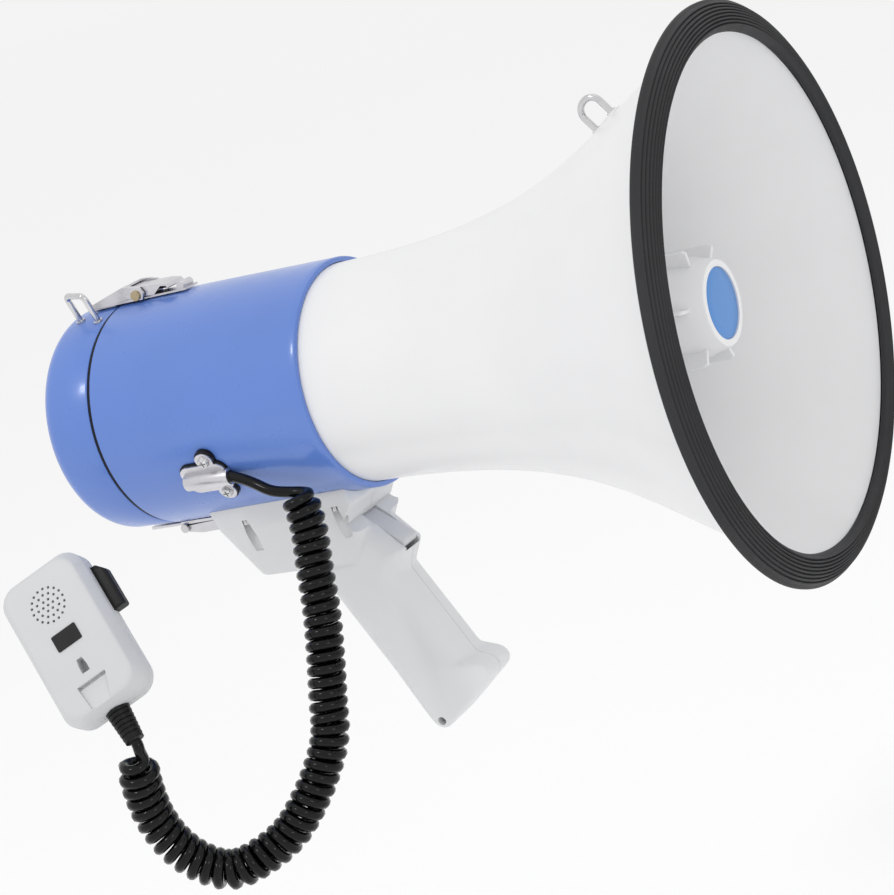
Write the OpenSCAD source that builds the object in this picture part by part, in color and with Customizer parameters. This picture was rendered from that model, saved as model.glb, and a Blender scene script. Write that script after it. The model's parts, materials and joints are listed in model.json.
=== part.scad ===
// Handheld megaphone: folded horn, battery barrel with a hinged cap, pistol grip and a hand
// microphone on a curly cord. The origin is where the hand holds the grip, +X runs along the
// horn to its mouth, +Y is to the left and +Z is up. Millimetres.

/* [Horn] */
// Diameter over the rubber rim
mouth_d = 230; // [226:1:234]
// Distance from the barrel's front edge to the mouth
bell_len = 194; // [190:1:198]
// Outer diameter of the bell where it enters the barrel
throat_d = 95.6; // [95:0.1:95.6]
// Wall of the bell
bell_wall = 2.5; // [2:0.1:3]
// Diameter of the reflector cup
cup_d = 40; // [38:1:42]
// Number of fins on the reflector cup
fin_count = 6; // [4:1:8]
// Diameter of the disc on the cup
disc_d = 29; // [26:1:30]

/* [Barrel] */
// Outer diameter of the barrel at the cap
barrel_d = 104; // [104:0.5:105]
// Outer diameter of the barrel at the horn
barrel_front_d = 100.8; // [100.5:0.1:101]
// Bore of the barrel
barrel_bore = 96; // [96:0.1:96.2]
// Length of the barrel
barrel_len = 110.5; // [109:0.5:112]
// Length of the rear cap
cap_len = 29; // [28:0.5:30]

/* [Grip] */
// Height of the horn's axis above the middle of the grip
axis_z = 105; // [104:0.5:106]
// Distance from the middle of the grip to the mouth
mouth_x = 205; // [204:0.5:206]
// Width of the saddle
saddle_w = 52; // [50:1:54]
// Thickness of the grip
grip_w = 30; // [29:1:32]
// Diameter of the lanyard hole
lanyard_d = 4; // [3.5:0.1:4.5]

/* [Microphone] */
// Length, width and depth of the microphone
mic_size = [70.5, 41, 22];
// Diameter of the cord
cord_d = 5; // [4.8:0.1:5.2]
// Outer diameter of the curly stretch
curl_d = 17.5; // [16:0.5:18]

/* [Hidden] */
$fn = 72;
seam_gap = 1.7;
fit_gap = 0.4;
rim_r = mouth_d / 2;
throat_r = throat_d / 2;
bore_r = barrel_bore / 2;
barrel_r = barrel_d / 2;
// stations along the horn, measured back from the mouth
lip_h = -bell_len;
seam_h = lip_h - barrel_len;
cap_front_h = seam_h - seam_gap;
cap_rear_h = cap_front_h - cap_len;
throat_plate_h = -164;
spigot_len = 5;
cap_wall = 3;

// ---- helpers ----

// Children drawn round +Z land on the horn's axis, with +Z towards the mouth
module on_axis(h = 0) translate([mouth_x + h, 0, axis_z]) rotate([0, 90, 0]) children();

// Places children on the barrel's skin: +Z points out, +X towards the mouth
module on_skin(h, angle, r) translate([mouth_x + h, 0, axis_z]) rotate([angle, 0, 0]) translate([0, 0,
    r]) children();

module ring(r_out, r_in, h0, h1) on_axis(h0) difference() {
    cylinder(r = r_out, h = h1 - h0);
    translate([0, 0, -1]) cylinder(r = r_in, h = h1 - h0 + 2);
}

module disc(r, h0, h1) on_axis(h0) cylinder(r = r, h = h1 - h0);

module slab(size, r) {
    translate([-size[0] / 2 + r, -size[1] / 2, 0]) cube([size[0] - 2 * r, size[1], size[2]]);
    translate([-size[0] / 2, -size[1] / 2 + r, 0]) cube([size[0], size[1] - 2 * r, size[2]]);
    for (x = [-1, 1], y = [-1, 1]) translate([x * (size[0] / 2 - r), y * (size[1] / 2 - r), 0])
        cylinder(r = r, h = size[2]);
}

module pan_screw(d, len) {
    cylinder(r = d / 2, h = len);
    translate([0, 0, len]) difference() {
        cylinder(r1 = d, r2 = d * 0.8, h = d * 0.6);
        for (a = [0, 90]) rotate(a) translate([-d * 0.6, -d * 0.1, d * 0.25]) cube([d * 1.2, d * 0.2,
            d]);
    }
}

// Plate between y = -w/2 and w/2 from an outline in the XZ plane
module side_profile(pts, w) translate([0, w / 2, 0]) rotate([90, 0, 0]) linear_extrude(w) polygon(pts);

function bezier(p, t) = pow(1 - t, 3) * p[0] + 3 * pow(1 - t, 2) * t * p[1] + 3 * (1 - t)
    * t * t * p[2] + pow(t, 3) * p[3];
function unit(v) = v / norm(v);

function frame_normal(v, ref) = unit(cross(v, ref));

// Tube of diameter d swept along points, with s sides
module swept_tube(pts, d, s, ref = [0, 1, 0.2]) {
    n = len(pts);
    function dir(i) = unit(pts[min(i + 1, n - 1)] - pts[max(i - 1, 0)]);
    rings = [for (i = [0:n - 1], k = [0:s - 1]) let (t = dir(i), u = frame_normal(t, ref), v = cross(t,
        u))
        pts[i] + d / 2 * (cos(k * 360 / s) * u + sin(k * 360 / s) * v)];
    sides = [for (i = [0:n - 2], k = [0:s - 1]) let (j = (k + 1) % s)
        [i * s + k, (i + 1) * s + k, (i + 1) * s + j, i * s + j]];
    caps = [[for (k = [0:s - 1]) k], [for (k = [s - 1:-1:0]) (n - 1) * s + k]];
    polyhedron(points = rings, faces = concat(sides, caps), convexity = 10);
}

// Smooth route through hand-set points (Catmull-Rom), m steps a span
function spline_at(p, i, t) = let (n = len(p), a = p[max(i - 1, 0)], b = p[i], c = p[min(i + 1, n - 1)],
    d = p[min(i + 2, n - 1)])
    0.5 * (2 * b + (c - a) * t + (2 * a - 5 * b + 4 * c - d) * t * t + (3 * b - a - 3 * c + d)
        * t * t * t);
function spline(p, m) = concat([for (i = [0:len(p) - 2], k = [0:m - 1]) spline_at(p, i, k / m)],
    [p[len(p) - 1]]);

// ---- horn ----

bell_curve = [[throat_r, lip_h], [throat_r, -80], [75.5, -63], [105, -1]];
bell_steps = 22;
function bell_slope(t) = unit(bezier(bell_curve, min(t + 0.01, 1)) - bezier(bell_curve, max(t - 0.01,
    0)));
bell_outer = [for (i = [0:bell_steps]) bezier(bell_curve, i / bell_steps)];
bell_inner = [for (i = [bell_steps:-1:0]) let (t = i / bell_steps, s = bell_slope(t)) bezier(bell_curve,
    t) + bell_wall * [-s[1], s[0]]];
boss_h = -48;

module bell() {
    color("white") {
        on_axis() rotate_extrude() polygon(concat([[throat_r, lip_h - 17]], bell_outer, bell_inner,
            [[throat_r - bell_wall, lip_h - 17]]));
        // boss under the strap loop
        on_skin(boss_h, 0, 0) rotate([0, -34, 0]) translate([42.7, 0, 65.2]) slab([18, 9, 2.2], 4);
    }
}

// Rubber guard wrapped round the edge of the bell, with concentric ribs
rib_count = 7;
module rim_guard() {
    inner = [103, 4];
    outer = [rim_r - 1.2, 0];
    ribs = [for (i = [0:rib_count - 1], k = [0:3]) let (f = (i + k / 4) / rib_count)
        inner * (1 - f) + outer * f + [0, 1.2 * sin(f * 180) + 0.8 * sin(k * 60)]];
    color("dimgray") difference() {
        on_axis() rotate_extrude($fn = 120) polygon(concat([[101.6, 1.5], [102, 3.2]], ribs, [outer,
            [rim_r, -0.8], [rim_r - 0.2, -1.8], [rim_r - 1.5, -2.6], [105, -5.6], [103.6, -5.6]]));
        on_axis() rotate_extrude($fn = 120) polygon([[98.4, -14.5], [105.3, -0.9], [102.1, 0.5], [94.1, -14.5]]);
    }
}

cup_front_h = -22.6;
cup_rear_h = -92;
cup_r = cup_d / 2;
module reflector_cup() {
    color("white") {
        difference() {
            union() {
                on_axis() rotate_extrude() polygon([[0, cup_front_h], [cup_r - 3, cup_front_h],
                    [cup_r - 2.4, cup_front_h - 1.5],
                    [cup_r - 1, cup_front_h - 6], [cup_r, cup_front_h - 9], [cup_r + 1.5, cup_rear_h],
                        [cup_r - 0.2, cup_rear_h],
                    [cup_r - 1.8, cup_front_h - 10], [cup_r - 4, cup_front_h - 4], [0,
                        cup_front_h - 4]]);
                for (i = [0:fin_count - 1]) on_axis() rotate(i * 360 / fin_count + 20) rotate([90, 0,
                    0])
                    translate([0, 0, -0.8]) linear_extrude(1.6)
                    polygon([[cup_r - 1, cup_front_h - 6], [cup_r + 6.5, cup_front_h - 5], [cup_r + 7,
                        cup_rear_h + 6], [cup_r, cup_rear_h + 6]]);
            }
            disc(disc_d / 2 + 0.1, cup_front_h - 1, cup_front_h + 1);
            disc(2.2, cup_front_h - 10, cup_front_h + 1);
            disc(4.5, cup_front_h - 2.9, cup_front_h + 1);
        }
    }
}

module hub_disc() color("steelblue") disc(disc_d / 2, cup_front_h - 0.9, cup_front_h - 0.1);

module hub_screw() color("silver") {
    disc(2, cup_front_h - 22, cup_front_h - 1.2);
    disc(4, cup_front_h - 2.8, cup_front_h - 1.2);
}

tube_front_h = -46;
module throat_tube() color("white") {
    difference() {
        union() {
            on_axis() rotate_extrude() polygon([[9, throat_plate_h], [13, tube_front_h], [14.6,
                tube_front_h], [10.8, throat_plate_h]]);
            on_axis(tube_front_h - 7) for (a = [0:120:240]) rotate(a) translate([2.5, -0.8, 0])
                cube([11, 1.6, 6]);
            // post that carries the cup
            disc(4, tube_front_h - 8, cup_front_h - 4);
        }
        disc(2.05, tube_front_h - 10, cup_front_h);
    }
}

module throat_plate() color("white") difference() {
    ring(45.2, 10.9, throat_plate_h - 3, throat_plate_h);
    on_axis(throat_plate_h - 5) for (a = [45:90:315]) rotate(a) translate([33, 0, 0]) cylinder(r = 2.1,
        h = 8, $fn = 32);
}

// ---- driver ----

driver_h = throat_plate_h - 3;
module driver_frame() color("dimgray") difference() {
    disc(38, driver_h - 13, driver_h);
    disc(9, driver_h - 4, driver_h + 1);
    on_axis(driver_h - 14) cylinder(r = 35.4, h = 10);
    on_axis(driver_h - 5) for (a = [45:90:315]) rotate(a) translate([33, 0, 0]) cylinder(r = 1.5, h = 8,
        $fn = 32);
}

module diaphragm() color("peru") on_axis(driver_h) rotate_extrude()
    polygon([[0, -4.6], [10, -5.6], [18.4, -8.2], [27, -6.8], [35.2, -7.4], [35.2, -8], [27, -7.4],
        [18.4, -8.8], [10, -6.2], [0, -5.2]]);

module voice_coil() color("goldenrod") ring(19.2, 18.6, driver_h - 18, driver_h - 8.9);

module driver_plate() color("silver") ring(35, 19.8, driver_h - 18, driver_h - 13.1);

module magnet() color("dimgray") ring(36, 22, driver_h - 31, driver_h - 18);

module yoke() color("silver") {
    disc(34, driver_h - 36, driver_h - 31);
    disc(18.1, driver_h - 31, driver_h - 12);
}

module driver_screws() color("silver") on_axis(driver_h - 7) for (a = [45:90:315]) rotate(a)
    translate([33, 0, 0]) {
    cylinder(r = 1.4, h = 10, $fn = 24);
    translate([0, 0, 10]) cylinder(r = 3, h = 2, $fn = 24);
}

// ---- amplifier and batteries ----

board_h = driver_h - 41;
module amp_board() color("darkgreen") {
    disc(42, board_h, board_h + 1.6);
    // heat sink, capacitors and transformer on the board
    on_axis(board_h + 1.5) {
        translate([-38, -12, 0]) cube([3, 24, 3]);
        translate([35, -12, 0]) cube([3, 24, 3]);
    }
    on_axis(board_h - 7) for (a = [30, 75, 190, 250]) rotate(a) translate([28, 0, 0]) cylinder(r = 4.5,
        h = 7.1, $fn = 32);
    on_axis(board_h - 6.5) translate([-9, -8, 0]) cube([18, 16, 6.6]);
}

bulkhead_h = board_h - 9;
module bulkhead() color("gainsboro") disc(bore_r - 0.1, bulkhead_h - 2, bulkhead_h);

cell_d = 26.2;
cell_len = 50;
cell_ring = 19.5;
spring_len = 6;
cell_front_h = bulkhead_h - 2 - spring_len;
tray_rear_h = cell_front_h - 2 * cell_len + 4;
module four_round() on_axis() for (a = [45:90:315]) rotate(a) translate([cell_ring, 0, 0]) children();

module battery_tray() color("dimgray") difference() {
    union() {
        four_round() translate([0, 0, tray_rear_h]) cylinder(r = cell_d / 2 + 1.9,
            h = bulkhead_h - 2 - tray_rear_h);
        disc(41, bulkhead_h - 4, bulkhead_h - 2);
    }
    four_round() translate([0, 0, tray_rear_h - 1]) cylinder(r = cell_d / 2 + 0.3,
        h = bulkhead_h - 2 - tray_rear_h + 2);
}

module battery_cells() color("gold") four_round() for (i = [1, 2])
translate([0, 0, cell_front_h - i * cell_len]) {
    translate([0, 0, 0.05]) cylinder(r = cell_d / 2, h = cell_len - 1.7);
    translate([0, 0, cell_len - 1.65]) cylinder(r = 3.2, h = 1.65);
}

// Cone springs between the bulkhead and the front cells
spring_turns = 3;
module contact_springs() color("silver") four_round() translate([0, 0, cell_front_h])
    swept_tube([for (i = [0:12 * spring_turns]) let (f = i / (12 * spring_turns))
        [(4 + 5 * f) * cos(i * 30), (4 + 5 * f) * sin(i * 30), 0.6 + (spring_len - 1.2) * f]], 0.9, 6,
            [0, 0, 1]);

// Two strips that bridge the rear cells, held in the cap
module contact_strips() color("silver") on_axis(cell_front_h - 2 * cell_len - 1.2) for (s = [-1, 1])
    translate([s * cell_ring * sin(45), 0, 0]) slab([12, 2 * cell_ring, 0.8], 3);

// ---- barrel and cap ----

module barrel() color("royalblue") difference() {
    on_axis() rotate_extrude() polygon([[bore_r, seam_h], [barrel_r, seam_h], [barrel_front_d / 2,
        lip_h - 4],
        [barrel_front_d / 2, lip_h - 0.8], [barrel_front_d / 2 - 0.8, lip_h], [bore_r, lip_h]]);
    on_skin(-225, -90, 40) cylinder(r = 4.2, h = 20, $fn = 48);
    on_skin(-253, -90, 40) translate([-8, -2.6, 0]) cube([16, 5.2, 20]);
    on_skin(clamp_h, clamp_angle, 40) cylinder(r = 3, h = 20, $fn = 32);
    clamp_place() for (p = screw_spots) translate([p[0], p[1], -6]) cylinder(r = 1.4, h = 8, $fn = 32);
}

module gasket() color("black") ring(barrel_r - 0.5, bore_r + 0.3, seam_h - 1.3, seam_h);

module rear_cap() color("royalblue") {
    difference() {
        on_axis() rotate_extrude() polygon([[0, cap_rear_h + 1.5], [30, cap_rear_h + 1.5], [32,
            cap_rear_h],
            [barrel_r - 9, cap_rear_h], [barrel_r - 5.2, cap_rear_h + 1], [barrel_r - 2.6,
                cap_rear_h + 3.4],
            [barrel_r - 1.2, cap_rear_h + 7], [barrel_r - 0.2, cap_front_h], [bore_r - fit_gap,
                cap_front_h],
            [bore_r - fit_gap, cap_front_h + spigot_len], [bore_r - 2.4, cap_front_h + spigot_len],
            [bore_r - 2.4, cap_rear_h + 6], [42, cap_rear_h + cap_wall + 1.5], [0,
                cap_rear_h + cap_wall + 1.5]]);
    }
    // post that carries the contact strips
    difference() {
        disc(34, cap_rear_h + cap_wall + 1.5, cell_front_h - 2 * cell_len - 1.2);
        on_axis(cap_rear_h + cap_wall + 1.4) cylinder(r = 31, h = 40);
    }
    disc(31, cell_front_h - 2 * cell_len - 3.2, cell_front_h - 2 * cell_len - 1.2);
}

// The barrel's outside, for cutting what sits on it
module barrel_cone() cylinder(r1 = barrel_r + 0.05, r2 = barrel_front_d / 2 + 0.05, h = barrel_len - 4,
    $fn = 360);

// ---- hinge under the seam ----

hinge_h = -309;
hinge_z = -55.2;
hinge_pin_r = 1.2;
module hinge_place() translate([mouth_x + hinge_h, 0, axis_z + hinge_z]) children();

module cap_hinge_leaf() color("silver") difference() {
    union() {
        hinge_place() rotate([90, 0, 0]) translate([0, 0, -6.3]) cylinder(r = 2.3, h = 12.6, $fn = 48);
        translate([mouth_x - 330, -6.3, axis_z + hinge_z + 0.9]) cube([21, 12.6, 1.4]);
    }
    hinge_place() rotate([90, 0, 0]) translate([0, 0, -10]) cylinder(r = hinge_pin_r + 0.05, h = 20,
        $fn = 48);
    on_axis(cap_rear_h) cylinder(r = barrel_r, h = cap_len);
}

module barrel_hinge_bracket() color("silver") difference() {
    union() {
        for (s = [-1, 1]) translate([mouth_x, s * 7.4, axis_z]) side_profile([[-311, -52.1], [-310.4,
            -57], [-300, -58.6], [-291, -58.4], [-284, -52.1]], 1.2);
        translate([mouth_x - 303, -8, axis_z - 53.6]) cube([19, 16, 1.5]);
    }
    hinge_place() rotate([90, 0, 0]) translate([0, 0, -10]) cylinder(r = hinge_pin_r, h = 20, $fn = 48);
}

module hinge_pin() color("silver") hinge_place() rotate([90, 0, 0]) {
    translate([0, 0, -8.4]) cylinder(r = hinge_pin_r, h = 16.8, $fn = 48);
    for (s = [-1, 1]) translate([0, 0, s * 8.8 - 0.6]) cylinder(r = 2.1, h = 1.2, $fn = 32);
}

// ---- draw latch on top ----

latch_pivot_h = -300;
latch_pivot_z = 55;
rivet_h = -293;
rivet_z = 54.8;
module latch_place(h, z) translate([mouth_x + h, 0, axis_z + z]) rotate([90, 0, 0]) children();
module latch_holes(h, z, r) latch_place(h, z) translate([0, 0, -15]) cylinder(r = r, h = 30, $fn = 48);

module latch_keeper() color("silver") difference() {
    translate([mouth_x - 321, -5.5, axis_z + 50]) cube([13, 11, 2.6]);
    on_axis(cap_rear_h) cylinder(r = barrel_r, h = cap_len, $fn = 360);
}

module latch_base() color("silver") difference() {
    union() {
        translate([mouth_x - 303.5, -5, axis_z + barrel_r + 0.05]) cube([35.5, 10, 0.9]);
        for (s = [-1, 1]) translate([mouth_x, s * 4.2, axis_z]) side_profile([[-302.1, 52.4], [-301.6,
            56.3], [-298.4, 56.3], [-296.5, 52.4]], 1.2);
        latch_place(-271, 54.2) translate([0, 0, -4]) cylinder(r = 1.9, h = 8, $fn = 32);
    }
    latch_holes(latch_pivot_h, latch_pivot_z, 1.0);
}

module latch_lever() color("silver") difference() {
    union() {
        for (s = [-1, 1]) translate([mouth_x, s * 5.7, axis_z]) side_profile([[-302.4, 54.2], [-301.5,
            57.4], [-279.6, 56.5], [-284.6, 53.2]], 1.2);
        translate([mouth_x, 0, axis_z]) side_profile([[-300.6, 57.2], [-300.6, 58.2], [-281, 57.6],
            [-276.6, 56.8], [-275.4, 55], [-276, 54.6], [-277, 55.9], [-281, 56.5]], 12.6);
    }
    latch_holes(latch_pivot_h, latch_pivot_z, 1.05);
    latch_holes(rivet_h, rivet_z, 1.15);
}

module latch_claw() color("silver") difference() {
    union() {
        for (s = [-1, 1]) translate([mouth_x, s * 7.5, axis_z]) side_profile([[-319.6, 53.0], [-319,
            54.8], [-299.5, 59.6],
            [-295, 59.2], [-290.4, 58.2], [-288.8, 55.4], [-290, 52.4], [-316, 52.6]], 1.4);
        translate([mouth_x, 0, axis_z]) side_profile([[-319.6, 53.0], [-319, 54.8], [-299.5, 59.6],
            [-299.3, 58.6], [-318.0, 54.0], [-318.4, 53.0]], 15);
    }
    latch_holes(rivet_h, rivet_z, 1.15);
}

module latch_pivot() color("silver") latch_place(latch_pivot_h, latch_pivot_z) translate([0, 0, -6.2])
    cylinder(r = 1.0, h = 12.4, $fn = 48);

module latch_rivet() color("gold") latch_place(rivet_h, rivet_z) {
    translate([0, 0, -8.5]) cylinder(r = 1.1, h = 17, $fn = 48);
    for (s = [-1, 1]) translate([0, 0, s * 8.7 - 0.4]) cylinder(r = 2.3, h = 0.8, $fn = 32);
}

// ---- strap loops ----

wire_d = 2.8;
// A loop of wire standing on its two feet: width between wires, height, and corner radius
module wire_loop(w, height, r, foot) {
    for (s = [-1, 1]) translate([s * w / 2, 0, -foot]) cylinder(r = wire_d / 2, h = height - r + foot,
        $fn = 24);
    for (s = [0, 1]) mirror([s, 0, 0]) translate([w / 2 - r, 0, height - r]) rotate([90, 0, 0])
        rotate_extrude(angle = 90, $fn = 48) translate([r, 0]) circle(r = wire_d / 2, $fn = 24);
    if (w > 2 * r) translate([-w / 2 + r, 0, height]) rotate([0, 90, 0]) cylinder(r = wire_d / 2,
        h = w - 2 * r, $fn = 24);
}

loop_tilt = -34;
module loop_front_place() on_skin(boss_h, 0, 0) rotate([0, loop_tilt, 0]) translate([42.7, 0, 67.4])
    children();
module strap_loop_front() color("silver") {
    loop_front_place() wire_loop(10, 11.6, 4.7, 0);
    loop_front_place() for (s = [-1, 1]) translate([s * 5, 0, 0]) cylinder(r = 2.2, h = 0.8, $fn = 32);
}

module strap_loop_rear() color("silver") on_skin(-316, 18.5, barrel_r - 0.5) rotate(-16) {
    difference() {
        wire_loop(13, 14.5, 2.6, 0.6);
        translate([-12, -5, -6]) cube([24, 10, 6.2]);
    }
    for (s = [-1, 1]) translate([s * 6.5, 0, 0.2]) cylinder(r = 2.1, h = 0.9, $fn = 32);
}

// ---- cord clamp ----

clamp_h = -255.5;
clamp_angle = 116;
clamp_r = 51.4;
module clamp_place() on_skin(clamp_h, clamp_angle, clamp_r) children();
screw_spots = [[3.5, 9.5], [4.5, -9]];
module clamp_outline(grow, thick) {
    translate([-1, 0, 0]) slab([24 + 2 * grow, 15 + 2 * grow, thick], 5 + grow);
    for (p = screw_spots) translate([p[0], p[1], 0]) cylinder(r = 4.2 + grow, h = thick, $fn = 48);
}

module clamp_pad() color("black") difference() {
    clamp_place() translate([0, 0, -1.6]) clamp_outline(0.6, 2.2);
    on_axis(seam_h) barrel_cone();
    clamp_place() for (p = screw_spots) translate([p[0], p[1], -4]) cylinder(r = 1.4, h = 8, $fn = 32);
}

module clamp_plate() color("silver") difference() {
    clamp_place() {
        translate([0, 0, 0.6]) clamp_outline(0, 1.1);
        translate([-11, 0, 2.4]) rotate([0, 90, 0]) cylinder(r = 3.8, h = 23.5, $fn = 48);
    }
    clamp_place() translate([-20, -20, -5]) cube([60, 40, 5.6]);
    clamp_place() translate([-9.5, 0, 2.4]) rotate([0, 90, 0]) cylinder(r = cord_d / 2 + 0.05, h = 40,
        $fn = 48);
    clamp_place() for (p = screw_spots) translate([p[0], p[1], -4]) cylinder(r = 1.4, h = 8, $fn = 32);
}

module clamp_screws() color("silver") clamp_place() for (p = screw_spots) translate([p[0], p[1], -3.3])
    pan_screw(2.7, 5);

// ---- grip ----

module slice(x, z, l, w, r) translate([x, 0, z]) slab([l, w, 0.5], r);

// A level slice of the grip between two stations along x
module span(x0, x1, z, w, r) slice((x0 + x1) / 2, z, x1 - x0, w, r);

module grip_form() {
    // saddle and rear wedge
    hull() {
        span(-77, 6, 62, saddle_w, 4);
        span(-75, 1, 50, saddle_w - 3, 5);
        span(-66, -12, 24.5, grip_w + 5, 7);
    }
    // housing round the trigger
    hull() {
        span(-40, -10.2, 45, grip_w, 9);
        span(-41, 7.3, 25.5, grip_w - 2, 9);
    }
    hull() {
        span(-41, 8.5, 25, grip_w - 2, 9);
        span(-38.5, 3.2, 14.5, grip_w - 1, 13);
    }
    // hand grip, leaning forward at the foot
    hull() {
        span(-38.5, 3.2, 14.5, grip_w - 1, 13);
        span(-18, 23, -29, grip_w, 13);
    }
    // butt with its forward lip
    hull() {
        span(-18, 23, -29, grip_w, 13);
        translate([27.5, 0, -35.5]) rotate([90, 0, 0]) cylinder(r = 5, h = grip_w - 8, center = true,
            $fn = 32);
        translate([2.5, 0, -54]) rotate([90, 0, 0]) cylinder(r = 5, h = grip_w - 5, center = true,
            $fn = 32);
    }
}

module grip_hollow() {
    hull() {
        span(-72, 2, 60, saddle_w - 6, 4);
        span(-58, -14, 27.5, grip_w - 1, 6);
    }
    hull() {
        span(-37, -2, 27.5, grip_w - 6, 9);
        span(-14, 18, -29, grip_w - 6, 9);
    }
}

// hollow in front of the housing, under the barrel
front_fold = [[40, 80], [0, 80], [-0.6, 54], [-2, 52], [-4.2, 50], [-5.8, 48.2], [-6.8, 46], [-8, 44],
    [-9.5, 43.6], [-4, 38.2], [40, 30]];
trigger_slot = [[-18.6, 36], [-18.2, 42.9], [-13, 44.3], [-9, 43], [14, 36], [14, 27.5], [8.4, 24.2],
    [2, 20], [-8, 20], [-8, 29.8], [-12.5, 33]];
slot_w = 12.4;
module grip_cut() {
    on_axis(seam_h - 1) cylinder(r = barrel_r + 0.05, h = barrel_len + 20);
    side_profile(front_fold, saddle_w + 2);
    side_profile(trigger_slot, slot_w);
    // screw pockets in both flanks
    for (x = saddle_screw_x, s = [-1, 1]) translate([x, s * 22, 38]) cylinder(r1 = 2.2, r2 = 3.4,
        h = 16, $fn = 48);
    for (x = saddle_screw_x, s = [-1, 1]) translate([x, s * 22, 50]) cylinder(r = 1.55, h = 20,
        $fn = 32);
    // room for the switch's plunger
    translate([-13.8, -2.1, 26]) cube([3.6, 4.2, 10]);
    // lanyard hole
    translate([2.5, 40, -55]) rotate([90, 0, 0]) cylinder(r = lanyard_d / 2, h = 80, $fn = 48);
}

saddle_screw_x = [-57, -8.5];
pin_x = -14;
pin_z = 39.5;
boss_spots = [[-28, 12], [8, -36]];
module across(x, z, r, h) translate([x, 0, z]) rotate([90, 0, 0]) cylinder(r = r, h = h, center = true,
    $fn = 48);
module grip_half(s) difference() {
    union() {
        difference() {
            grip_form();
            grip_hollow();
        }
        for (p = boss_spots) across(p[0], p[1], 3.6, grip_w - 5);
        across(2.5, -54, 4, grip_w - 8);
        across(pin_x, pin_z, 3.6, grip_w - 3);
    }
    grip_cut();
    translate([-200, s > 0 ? -200 : 0, -100]) cube([400, 200, 300]);
    across(pin_x, pin_z, 1.5, 24);
    for (p = boss_spots) across(p[0], p[1], 1.3, 20);
}

module grip_right() color("whitesmoke") grip_half(-1);
module grip_left() color("whitesmoke") grip_half(1);

module grip_screws() color("silver") for (p = boss_spots) across(p[0], p[1], 1.25, 19.6);

module saddle_screws() color("silver") for (x = saddle_screw_x, s = [-1, 1]) translate([x, s * 22,
    51.8]) {
    cylinder(r = 3, h = 2.1, $fn = 32);
    cylinder(r = 1.5, h = 5, $fn = 32);
}

trigger_w = 11.6;
module trigger() color("whitesmoke") difference() {
    side_profile([[-17.6, 37], [-17, 42], [-13, 43.4], [-9, 41.8], [6, 29.8], [7.4, 28.4], [7.7, 27],
        [6.4, 24.9], [2.6, 28],
        [0.8, 31.5], [-5.8, 31.5], [-8, 33.8], [-11, 35]], trigger_w);
    across(pin_x, pin_z, 1.55, 30);
}

module trigger_pin() color("silver") across(pin_x, pin_z, 1.48, 23);

spring_base_z = 22;
module trigger_spring() color("silver") translate([-2.5, 0, spring_base_z])
    swept_tube([for (i = [0:48]) [2.4 * cos(i * 30), 2.4 * sin(i * 30), 0.5 + i * 0.17]], 0.8, 6, [0, 0,
        1]);

module trigger_switch() color("dimgray") {
    translate([-17, -4.5, 20]) cube([18, 9, 2]);
    translate([-17, -4.5, 21.9]) cube([9, 9, 5.9]);
    translate([-13.5, -1.8, 27.7]) cube([3, 3.6, 5.9]);
}

// ---- controls on the hidden side ----

module control_place(h) on_skin(h, -90, barrel_r) children();

module control_plate() color("dimgray") difference() {
    control_place(-239) translate([0, 0, -3.4]) slab([52, 24, 4.6], 5);
    on_axis(seam_h) barrel_cone();
    on_skin(-225, -90, 40) cylinder(r = 4.2, h = 20, $fn = 48);
    on_skin(-253, -90, 40) translate([-8, -2.6, 0]) cube([16, 5.2, 20]);
}

module volume_knob() color("black") control_place(-225) {
    translate([0, 0, 1.6]) difference() {
        cylinder(r1 = 8.5, r2 = 7.6, h = 9);
        for (a = [0:30:330]) rotate(a) translate([9, 0, 2]) cylinder(r = 1.3, h = 10, $fn = 24);
    }
    translate([0, 0, -8]) cylinder(r = 3.8, h = 9.6);
}

module mode_slider() color("black") control_place(-253) {
    translate([-3.5, -2.2, -6]) cube([4, 4.4, 9]);
    translate([-1.5, 0, 1.7]) slab([7, 8, 3.2], 1.5);
}

// ---- microphone ----

mic_pos = [-91.6, -114.1, 38.9];
mic_turn = [59, -19, 31];
module mic_place() translate(mic_pos) rotate(mic_turn) children();
mic_l = mic_size[0];
mic_w = mic_size[1];
mic_t = mic_size[2];

// Rounded box with sloping edges, smaller all round by inset
module mic_form(inset) hull() {
    translate([0, 0, -4.5]) slab([mic_w - 2 * inset, mic_l - 2 * inset, 9], 9 - inset);
    translate([0, 0, inset - mic_t / 2]) slab([mic_w - 6 - 2 * inset, mic_l - 6 - 2 * inset,
        mic_t - 2 * inset], 8 - inset);
}

button_gap = 0.4;
// Half of the shell: s = 1 for the front, -1 for the back
module mic_half(s) mic_place() difference() {
    mic_form(0);
    mic_form(2);
    translate([-50, -50, s > 0 ? -100 : 0]) cube([100, 100, 100]);
    translate([15, 2 - button_gap, -6.6 - button_gap]) cube([10, 21.6 + 2 * button_gap,
        6.6 + 2 * button_gap]);
    translate([0, -mic_l / 2 + 3, 0]) rotate([90, 0, 0]) cylinder(r = 3, h = 10, $fn = 32);
}

grille_y = 16.7;
module mic_front() color("gainsboro") difference() {
    mic_half(1);
    mic_place() {
        // three rings of sound holes
        translate([0, grille_y, 5]) {
            cylinder(r = 0.6, h = 20, $fn = 16);
            for (n = [1:3], i = [0:6 * n - 1]) rotate(i * 60 / n) translate([n * 2.5, 0, 0])
                cylinder(r = 0.6, h = 20, $fn = 16);
        }
        // hanging slot and its recess
        translate([-1.7, -16.6, 5]) cube([3.4, 5.6, 20]);
        translate([-7, -22.2, mic_t / 2 - 1.2]) cube([14, 1.2, 20]);
    }
}

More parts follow.
